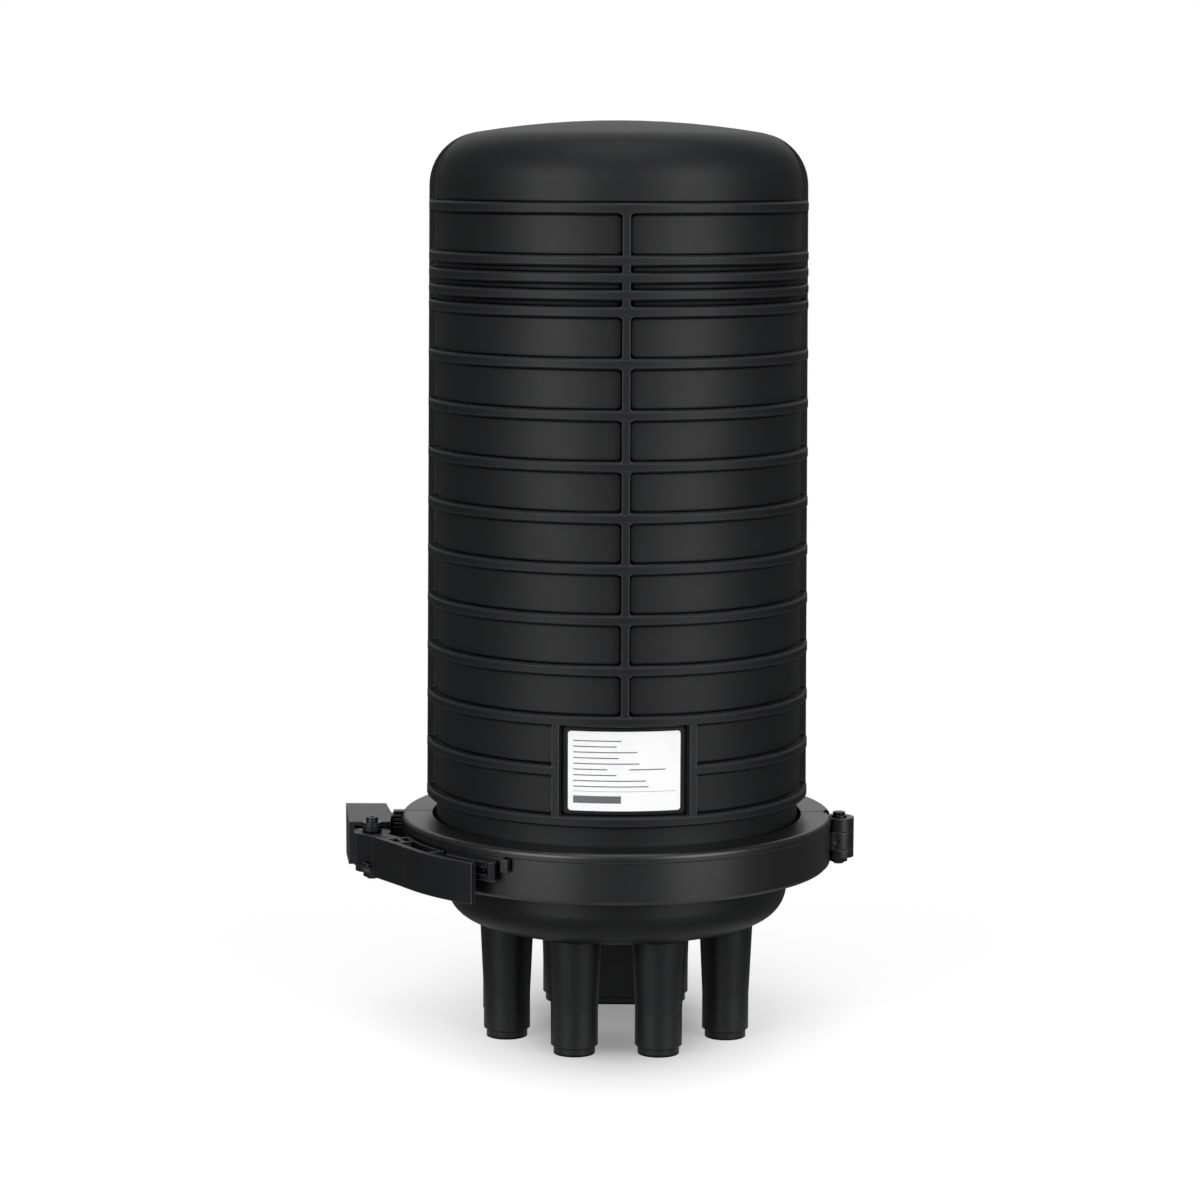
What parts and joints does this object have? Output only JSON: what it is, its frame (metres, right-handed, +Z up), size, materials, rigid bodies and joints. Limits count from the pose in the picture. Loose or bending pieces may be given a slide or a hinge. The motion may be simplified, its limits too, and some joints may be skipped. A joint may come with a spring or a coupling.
{
  "type": "dome splice closure",
  "caption": "Ribbed black dome clamped to a base with blind round and oval cable ports by a hinged ring with a lever latch, holding a stack of splice trays.",
  "frame": {"origin": "on the dome's axis, in the plane of the port tips", "axes": "+Z up along the dome, +X to the clamp ring's hinge, -Y to the label and lever"},
  "size_m": [0.2619, 0.2196, 0.4625],
  "materials": {
    "base_black": "satin moulded",
    "dome_black": "satin moulded",
    "clamp_black": "fine-grained moulded",
    "lever_black": "satin moulded",
    "seal_rubber": "matte",
    "label_film": "printed film",
    "zinc_steel": "zinc plated",
    "dark_steel": "blackened",
    "sheet_steel": "brushed",
    "carrier_black": "moulded",
    "clear_cover": "clear",
    "strap_fabric": "woven hook and loop",
    "tray_grey": "moulded",
    "holder_blue": "moulded"
  },
  "bodies": {
    "closure": {"base": "base_black", "seal_ring": "seal_rubber", "dome": "dome_black", "label": "label_film", "clamp_rear": "clamp_black", "hinge_bolt": "dark_steel", "hinge_nut": "dark_steel", "lever_bolt": "dark_steel", "lever_washer": "dark_steel", "lever_nut": "dark_steel", "support_plate": "sheet_steel", "plate_screws": "zinc_steel", "inner_frame": "sheet_steel", "frame_screws": "zinc_steel", "tray_carrier": "carrier_black", "carrier_screws": "zinc_steel", "tray_cover": "clear_cover", "tray_strap": "strap_fabric", "storage_basket": "tray_grey", "basket_screws": "zinc_steel", "anchor_screws": "zinc_steel", "splice_tray_1": "tray_grey", "splice_tray_2": "tray_grey", "splice_tray_3": "tray_grey", "splice_tray_4": "tray_grey", "splice_tray_5": "tray_grey", "splice_tray_6": "tray_grey", "splice_holder_1": "holder_blue", "splice_holder_2": "holder_blue", "splice_holder_3": "holder_blue", "splice_holder_4": "holder_blue", "splice_holder_5": "holder_blue", "splice_holder_6": "holder_blue", "cable_anchor_1": "sheet_steel", "cable_anchor_2": "sheet_steel", "cable_anchor_3": "sheet_steel", "cable_anchor_4": "sheet_steel", "cable_anchor_5": "sheet_steel", "cable_anchor_6": "sheet_steel"},
    "front_half": {"clamp_front": "clamp_black"},
    "lever": {"latch_lever": "lever_black", "link_pin": "zinc_steel"},
    "link": {"latch_link": "lever_black"}
  },
  "joints": [
    {"name": "clamp_open", "type": "hinge", "parent": "closure", "child": "front_half", "pos_m": [0.114, 0, 0.0992], "axis": [0, 0, 1], "range_deg": [0, 30]},
    {"name": "lever_swing", "type": "hinge", "parent": "closure", "child": "lever", "pos_m": [-0.124, -0.021, 0.095], "axis": [0, 0, 1], "range_deg": [-105, 0]},
    {"name": "link_swing", "type": "hinge", "parent": "lever", "child": "link", "pos_m": [-0.13013, -0.01586, 0.097], "axis": [0, 0, 1], "range_deg": [0, 6]}
  ],
  "couplings": [
    {"joint": "lever_swing", "follows": "clamp_open", "ratio": -3.5},
    {"joint": "link_swing", "follows": "clamp_open", "ratio": 0.2}
  ]
}
